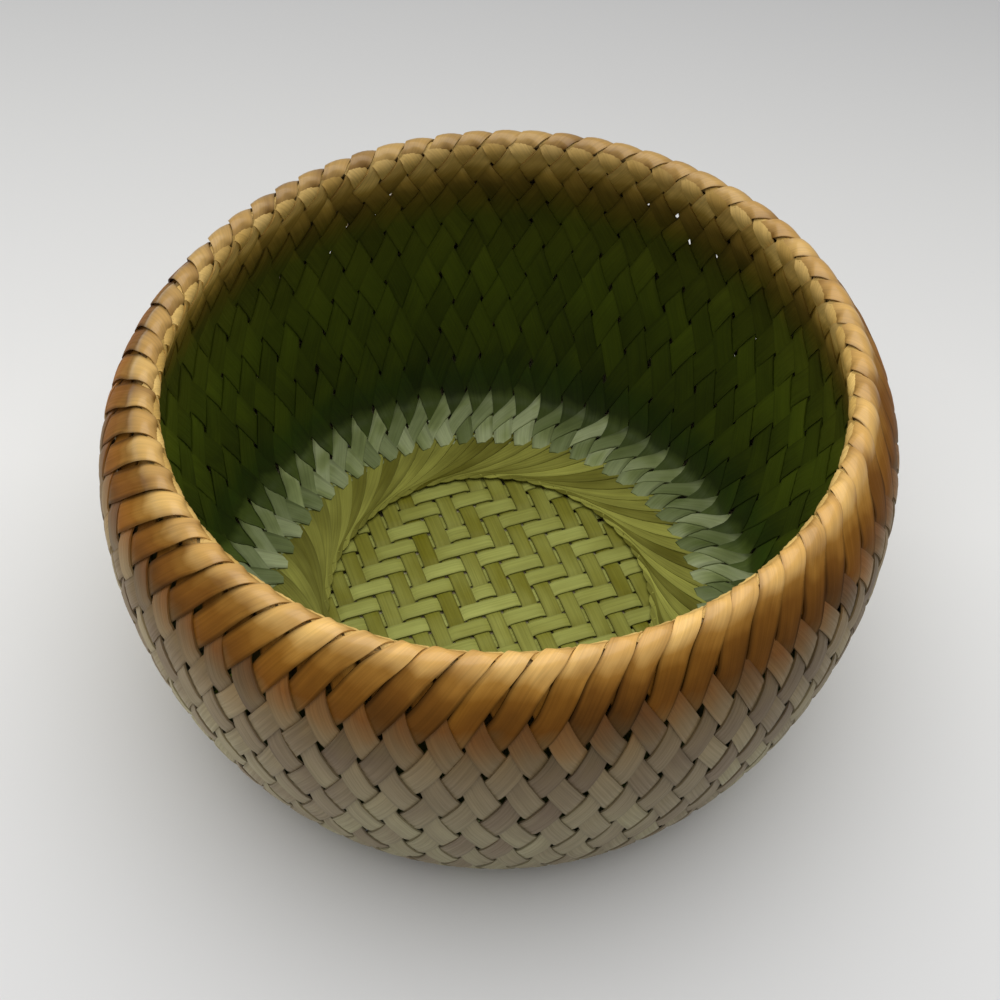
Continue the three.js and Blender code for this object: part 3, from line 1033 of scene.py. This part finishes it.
@dataclass(frozen=True)
class Wall:
    """The strips of the double wall, which cross in a plain weave laid on the bias.

    A cover is the share of the room of one pitch that a strip fills. A pair of rows eases something in
    from the first row to the second.

    Attributes:
        form: Form of the basket.
        seeds: Seeds of the rising and of the falling strips' differences.
        phase: Turn of the weave round the basket, in pitches.
        swing: Lift of a strip over and under the strips that it crosses.
        long_float: Rows to both sides of row 0 between which the rising strips stay over.
        cover: Cover of the outer wall's strips.
        inner_cover: Cover of the inner wall's strips, from inner_rows.
        shoulder_cover: Cover of the rising strips at both shoulders, within shoulder_rows.
        wrap_cover: Cover of the rising strips where they wrap the rim, within wrap_rows.
        blade_cover: Cover of the blades in the corner of the floor, from blade_rows.
        wrap_swing: Lift of the wraps over and under.
        wrap_arch: How much further a wrap's middle stands above its edges.
        wrap_tilt: How far a wrap's edges are tilted up and down on the outside, within tilt_rows.
        crest_tilt: The same on the crest, from crest_tilt_rows.
        wrap_tuck: How far the falling strips draw in under the wraps, from wrap_tuck_rows.
        crest_tuck: How much further they draw in on the crest, from crest_tuck_rows.
        tuck_end_rows: Rows past the crest from which they are drawn in.
        foot_tuck: How far all strips draw in under the foot, from foot_rows.
    """

    form: BasketForm
    seeds: tuple[int, int] = (11, 12)
    phase: float = 0.2
    swing: float = 0.36
    long_float: float = 1.0
    cover: float = 0.79
    inner_cover: float = 0.88
    inner_rows: tuple[float, float] = (-1.5, -3.0)
    shoulder_cover: float = 0.87
    shoulder_rows: tuple[tuple[float, float], ...] = ((1.8, 0.9), (-2.6, -1.8))
    wrap_cover: float = 0.97
    wrap_rows: tuple[tuple[float, float], ...] = ((0.5, -1.1), (-1.9, -1.1))
    blade_cover: float = 0.84
    blade_rows: tuple[float, float] = (-12.2, -12.8)
    wrap_swing: float = 0.16
    wrap_arch: float = 0.5
    wrap_tilt: float = 0.5
    crest_tilt: float = 0.45
    tilt_rows: tuple[tuple[float, float], ...] = ((1.3, 0.2), (-1.9, -1.1))
    crest_tilt_rows: tuple[float, float] = (0.0, -0.9)
    wrap_tuck: float = 0.45
    wrap_tuck_rows: tuple[float, float] = (1.3, 0.5)
    crest_tuck: float = 0.25
    crest_tuck_rows: tuple[float, float] = (-0.5, -1.1)
    tuck_end_rows: tuple[float, float] = (-2.3, -1.7)
    foot_tuck: float = 0.6
    foot_rows: tuple[float, float] = (10.6, 11.8)

    def turn(self, lean: Lean, row: np.ndarray) -> np.ndarray:
        """Gives the turn of the first strip that leans this way, half a pitch for each row."""
        return (0.5 + self.phase + lean.value * row / 2) * PITCH

    def side(self, lean: Lean, row: np.ndarray, offset: np.ndarray) -> np.ndarray:
        """Gives the side of the strips, 1 over and -1 under, from the strips that they cross.

        Rising strips are over at odd rows, falling strips at even rows, and between the rows just under
        the shoulder and just past the crest the rising strips stay over.

        Args:
            lean: The way the strips lean.
            row: Rows.
            offset: Distance from the strip's middle line in pitches.

        Returns:
            Values from -1 to 1.
        """
        crossing = row + lean.value * offset
        return woven(np.maximum(np.abs(crossing), self.long_float)) * lean.value

    def wrap(self, row: np.ndarray) -> np.ndarray:
        """Tells how far a rising strip has spread out to wrap the rim, from 0 to 1."""
        return both_steps(row, self.wrap_rows)

    def width(self, lean: Lean, row: np.ndarray, room: np.ndarray) -> np.ndarray:
        """Gives the widths of the strips, the room of one pitch times the cover of each place.

        Args:
            lean: The way the strips lean.
            row: Rows.
            room: Room that the pitch gives.

        Returns:
            Widths.
        """
        cover = self.cover + (self.inner_cover - self.cover) * smooth_step(row, *self.inner_rows)
        if lean is Lean.RISING:
            cover = cover + (self.shoulder_cover - cover) * both_steps(row, self.shoulder_rows)
            cover = cover + (self.wrap_cover - cover) * self.wrap(row)
            cover = cover + (self.blade_cover - cover) * smooth_step(row, *self.blade_rows)
        return room * cover

    def lift(self, lean: Lean, row: np.ndarray, offset: np.ndarray, share: np.ndarray) -> np.ndarray:
        """Gives the lift of the strips over and under each other.

        Falling strips dive under the wraps of the rim. Rising strips swing less where they wrap it, lie
        over each other like tiles and are arched as a parabola.

        Args:
            lean: The way the strips lean.
            row: Rows.
            offset: Distance from the strip's middle line in pitches.
            share: Distance from it as a share of the strip's half width.

        Returns:
            Lifts.
        """
        over = self.swing * self.side(lean, row, offset)
        over = over - self.foot_tuck * smooth_step(row, *self.foot_rows)
        if lean is Lean.FALLING:
            tuck = self.wrap_tuck * smooth_step(row, *self.wrap_tuck_rows)
            tuck = tuck + self.crest_tuck * smooth_step(row, *self.crest_tuck_rows)
            return over - tuck * smooth_step(row, *self.tuck_end_rows)
        spread = self.wrap(row)
        over = over * (1 + (self.wrap_swing / self.swing - 1) * spread)
        tilt = self.wrap_tilt + (self.crest_tilt - self.wrap_tilt) * smooth_step(row, *self.crest_tilt_rows)
        tiled = tilt * both_steps(row, self.tilt_rows) * share
        return over - tiled + self.wrap_arch * spread * (1 - share**2)

    def strips(self, region: Region, lean: Lean) -> Strips:
        """Describes the strips of one lean in a region.

        Args:
            region: Region of the wall.
            lean: The way they lean.

        Returns:
            The strips.
        """
        is_rising = lean is Lean.RISING
        first, last = region.rising if is_rising else region.falling
        return Strips(
            place=self.form.place,
            rows=np.linspace(first, last, round((last - first) * region.steps_per_row) + 1),
            turn=partial(self.turn, lean),
            lift=partial(self.lift, lean),
            width=partial(self.width, lean),
            seed=self.seeds[0 if is_rising else 1],
            columns=region.columns[0 if is_rising else 1],
        )

    def build(self) -> None:
        """Makes the outer wall, the rolled rim, the inner wall and the corner of the floor."""
        for region in REGIONS:
            material = region.finish.material()
            for lean in Lean:
                name = f"{region.name}_{lean.name.lower()}_strips"
                sections = self.strips(region, lean).sections()
                add_piece(strip_mesh(name, *sections), material, [region.node])


@dataclass(frozen=True)
class Swirl:
    """Narrow strips that swirl round a mat and hold its ends.

    Attributes:
        form: Form of the ring.
        name: Name of the piece.
        slot: Material slot of the record; not used.
        node: CAD node that the piece stands for.
        seed: Seed of the strips' differences.
        strip_width: Width of a strip.
        tip_cover: Share of the width that a strip has at its tip. It grows to the full width over
            tip_shares of the spiral.
        inner_tilt: How far a strip's edges are tilted up and down at the inner edge, outer_tilt at the
            outer one.
        tuck: How far the strips draw in at the outer edge, from tuck_shares of the spiral.
        thickness: Thickness of a strip.
        sway: How far a strip strays to the side, in pitches.
        count: Number of cross sections of a strip.
    """

    form: SwirlForm
    name: str
    slot: str
    node: str
    seed: int
    strip_width: float = 4.3
    tip_cover: float = 0.04
    tip_shares: tuple[float, float] = (-0.02, 0.15)
    inner_tilt: float = 0.3
    outer_tilt: float = 0.2
    tuck: float = 0.5
    tuck_shares: tuple[float, float] = (0.86, 1.0)
    thickness: float = 0.28
    sway: float = 0.03
    count: int = 25

    def width(self, row: np.ndarray, room: np.ndarray) -> np.ndarray:
        """Gives the width of the strips, which grows from the tips and leaves the room out of account."""
        grown = smooth_step(row, *self.tip_shares)
        return self.strip_width * (self.tip_cover + (1 - self.tip_cover) * grown)

    def lift(self, row: np.ndarray, offset: np.ndarray, share: np.ndarray) -> np.ndarray:
        """Gives the lift of the strips, which lie over each other like tiles.

        Args:
            row: Share of the spiral.
            offset: Distance from the strip's middle line in pitches, which changes nothing.
            share: Distance from it as a share of the strip's half width.

        Returns:
            Lifts.
        """
        tilt = self.inner_tilt + (self.outer_tilt - self.inner_tilt) * row
        return tilt * share - self.tuck * smooth_step(row, *self.tuck_shares)

    def build(self, material: bpy.types.Material) -> None:
        """Makes the ring of strips in a material."""
        strips = Strips(
            place=self.form.place,
            rows=np.linspace(0, 1, self.count),
            turn=self.form.turn,
            lift=self.lift,
            width=self.width,
            thickness=self.thickness,
            seed=self.seed,
            sway=self.sway,
        )
        add_piece(strip_mesh(self.name, *strips.sections()), material, [self.node])


@dataclass(frozen=True)
class TwillMat:
    """A mat of strips that pass over two and under two in chevrons, cut to a disc.

    Attributes:
        name: Name of the piece.
        prefix: First word of the names of the CAD nodes that it stands for.
        slot: Material slot of the record.
        count: Number of strips each way.
        opening: Radius of the opening that the mat fills.
        middle: Height of the mat's middle.
        seed: Seed of the strips' tones.
        cover_ratio: How much wider than the opening the strips lie in all.
        overlap: How far the strips reach past the opening.
        spacing: Gap between strips.
        swing: Lift of a strip over and under the strips that it crosses.
        dive: Shares of the way between two crossings where a strip begins and ends to change sides.
        thickness: Thickness of a strip.
        arch: How far a strip's middle stands above its edges.
        turn: Turn of the strips that run across.
        across_tones: Least and greatest tone of the strips that run across, along_tones of the others.
        steps: Number of cross sections of a strip.
        columns: Number of points across a strip.
    """

    name: str
    prefix: str
    slot: str
    count: int
    opening: float
    middle: float
    seed: int
    cover_ratio: float = 1.03
    overlap: float = 3.6
    spacing: float = 0.85
    swing: float = 0.4
    dive: tuple[float, float] = (0.22, 0.78)
    thickness: float = 0.42
    arch: float = 0.12
    turn: float = math.radians(24)
    across_tones: tuple[float, float] = (0.6, 1.0)
    along_tones: tuple[float, float] = (0.0, 0.3)
    steps: int = 121
    columns: int = 4

    def crossing_side(self, row: np.ndarray, column: np.ndarray) -> np.ndarray:
        """Gives the side of the strip that runs across at the crossings themselves.

        The distance from the middle column less the count of rows from the far edge is taken in steps of
        four crossings, two over and two under.

        Args:
            row: Whole number of the strip that runs across.
            column: Whole number of the strip that runs along.

        Returns:
            1 over and -1 under.
        """
        step = np.abs(column - (self.count - 1) / 2) + row - (self.count - 1)
        return np.where(np.mod(step, 4) < 2, 1.0, -1.0)

    def side(self, row: np.ndarray, column: np.ndarray) -> np.ndarray:
        """Gives the side of the strip that runs across, eased from each crossing to the next.

        Args:
            row: Number of the strip that runs across.
            column: Number of the strip that runs along.

        Returns:
            Values from -1 to 1.
        """
        low_row, low_column = np.floor(row), np.floor(column)
        up = smooth_step(row - low_row, *self.dive)
        on = smooth_step(column - low_column, *self.dive)
        near, far = [
            self.crossing_side(at, low_column) * (1 - on) + self.crossing_side(at, low_column + 1) * on
            for at in (low_row, low_row + 1)
        ]
        return near * (1 - up) + far * up

    def build(self, form: BasketForm, material: bpy.types.Material) -> None:
        """Makes all strips of the mat.

        A strip is a straight band whose height follows its side at every crossing. The strips the other
        way follow the same sides turned over.

        Args:
            form: Form of the basket, for its slight oval.
            material: Material of the strips.
        """
        chance = np.random.default_rng(self.seed)
        pitch = 2 * self.opening * self.cover_ratio / self.count
        half_width = (pitch - self.spacing) / 2
        number = np.arange(self.count)[:, None, None]
        offset = (number - (self.count - 1) / 2) * pitch
        half_length = np.sqrt((self.opening + self.overlap) ** 2 - (np.abs(offset) + half_width) ** 2)
        along = np.linspace(-1, 1, self.steps)[None, :, None] * half_length
        share = np.concatenate([np.linspace(-1, 1, self.columns), np.linspace(1, -1, self.columns)])
        face = np.repeat([1.0, -1.0], self.columns)
        crossing = along / pitch + (self.count - 1) / 2
        across_wave = self.side(number + 0 * crossing, crossing)
        along_wave = -self.side(crossing, self.count - 1 - number + 0 * crossing)
        points, charts = [], []
        for wave, angle in ((across_wave, self.turn), (along_wave, self.turn + math.pi / 2)):
            height = self.middle + self.swing * wave + self.arch * (1 - share**2)
            height = height + face * self.thickness / 2
            x = along + 0 * height
            aside = half_width * share + 0 * height
            y = offset + aside
            points.append(form.warp(np.hypot(x, y), np.arctan2(y, x) + angle, height))
            charts.append(np.stack([x, aside], axis=-1))
        ranges = zip((self.across_tones, self.along_tones), chance.random((2, self.count)))
        tones = np.concatenate([low + (high - low) * part for (low, high), part in ranges])
        mesh = strip_mesh(self.name, np.concatenate(points), np.concatenate(charts), tones)
        ways = ("across", "along")
        nodes = [f"{self.prefix}_strip_{way}_{i + 1:02d}" for way in ways for i in range(self.count)]
        add_piece(mesh, material, nodes)


@dataclass(frozen=True)
class Studio:
    """The pale floor, the soft light and the camera of the photograph.

    Attributes:
        floor_size: Side of the floor in metres.
        lamp_size: Width of the round lamp in metres.
        lamp_power: Its power in watts.
        lamp_place: Its place in metres, turned towards lamp_aim.
        sky: Colour of the sky.
        sky_strength: Its strength.
        distance: Distance of the camera from its aim.
        elevation: Angle of its view down, in radians.
        roll: Turn about its axis, in radians.
        aim: Place that it looks at.
        lens: Length of its lens.
        sensor: Width of its sensor.
    """

    floor_size: float = 6.0
    lamp_size: float = 1.5
    lamp_power: float = 10.0
    lamp_place: tuple[float, float, float] = (-0.05, 0.1, 1.0)
    lamp_aim: tuple[float, float, float] = (0.0, 0.0, 0.05)
    sky: str = "#f7f7f7"
    sky_strength: float = 0.42
    distance: float = 437.2
    elevation: float = 0.9046
    roll: float = 0.0815
    aim: tuple[float, float, float] = (0.3, 0.0, 48.8)
    lens: float = 65.9
    sensor: float = 36.0

    def floor(self) -> None:
        """Makes the floor, whose grey follows the photograph's backdrop from front to back."""
        half = self.floor_size / 2
        corners = [(-half, -half, 0), (half, -half, 0), (half, half, 0), (-half, half, 0)]
        mesh = bpy.data.meshes.new("studio_floor")
        mesh.from_pydata(corners, [], [(0, 1, 2, 3)])
        mesh.materials.append(PAPER.material())
        floor = bpy.data.objects.new("studio_floor", mesh)
        bpy.context.scene.collection.objects.link(floor)

    def light(self) -> None:
        """Sets a broad lamp above and a little behind the basket, and an even pale sky."""
        lamp = bpy.data.lights.new("soft_lamp", "AREA")
        lamp.shape = "DISK"
        lamp.size = self.lamp_size
        lamp.energy = self.lamp_power
        place = bpy.data.objects.new("soft_lamp", lamp)
        place.location = self.lamp_place
        way = Vector(self.lamp_aim) - place.location
        place.rotation_euler = way.to_track_quat("-Z", "Y").to_euler()
        bpy.context.scene.collection.objects.link(place)
        world = bpy.data.worlds.new("studio_sky")
        bpy.context.scene.world = world
        world.use_nodes = True
        sky = world.node_tree.nodes["Background"]
        sky.inputs["Color"].default_value = linear(self.sky)
        sky.inputs["Strength"].default_value = self.sky_strength

    def camera(self) -> None:
        """Sets the camera where the photograph was taken from, turned a little about its axis."""
        camera = bpy.data.cameras.new("camera")
        camera.lens = self.lens
        camera.sensor_width = self.sensor
        place = bpy.data.objects.new("camera", camera)
        back = Vector((0, -math.cos(self.elevation), math.sin(self.elevation)))
        spot = (Vector(self.aim) + back * self.distance) * MM
        turned = (-back).to_track_quat("-Z", "Y").to_matrix().to_4x4() @ Matrix.Rotation(self.roll, 4, "Z")
        place.matrix_world = Matrix.Translation(spot) @ turned
        bpy.context.scene.collection.objects.link(place)
        bpy.context.scene.camera = place

    def build(self) -> None:
        """Makes the floor, the light and the camera."""
        self.floor()
        self.light()
        self.camera()
        bpy.context.scene.view_settings.view_transform = "Standard"


@dataclass(frozen=True)
class Basket:
    """The whole basket, region by region.

    Attributes:
        form: Form of its double wall.
    """

    form: BasketForm = field(default_factory=BasketForm)

    def build(self) -> None:
        """Makes every piece and dresses the hoop, which keeps its CAD shape."""
        Wall(self.form).build()
        straw = STRAW.material()
        mat = GREEN_MAT.material()
        weathered = bpy.data.materials[WEATHERED.name]
        collar = SwirlForm(self.form, inner_radius=43.0, outer_radius=58.5, middle=5.4, facing=1.0)
        Swirl(collar, "floor_swirl_strips", "straw_collar", "floor_collar", seed=21).build(straw)
        foot = SwirlForm(self.form, inner_radius=36.0, outer_radius=60.0, middle=0.85, facing=-1.0)
        ring = Swirl(foot, "base_swirl_strips", "outer_weave", "base_ring", seed=22, strip_width=3.8)
        ring.build(weathered)
        floor = TwillMat("floor_mat_strips", "floor", "floor_mat", 17, opening=41.0, middle=3.85, seed=31)
        floor.build(self.form, mat)
        base = TwillMat("base_mat_strips", "base", "outer_weave", 9, opening=34.0, middle=2.25, seed=32)
        base.build(self.form, weathered)
        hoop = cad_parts["rim_hoop"]
        hoop.data.materials.clear()
        hoop.data.materials.append(HOOP.material())


def main() -> None:
    """Builds the basket and the studio."""
    logging.basicConfig(level=logging.INFO, format="%(name)s: %(message)s")
    Basket().build()
    Studio().build()


if __name__ == "__main__":
    main()
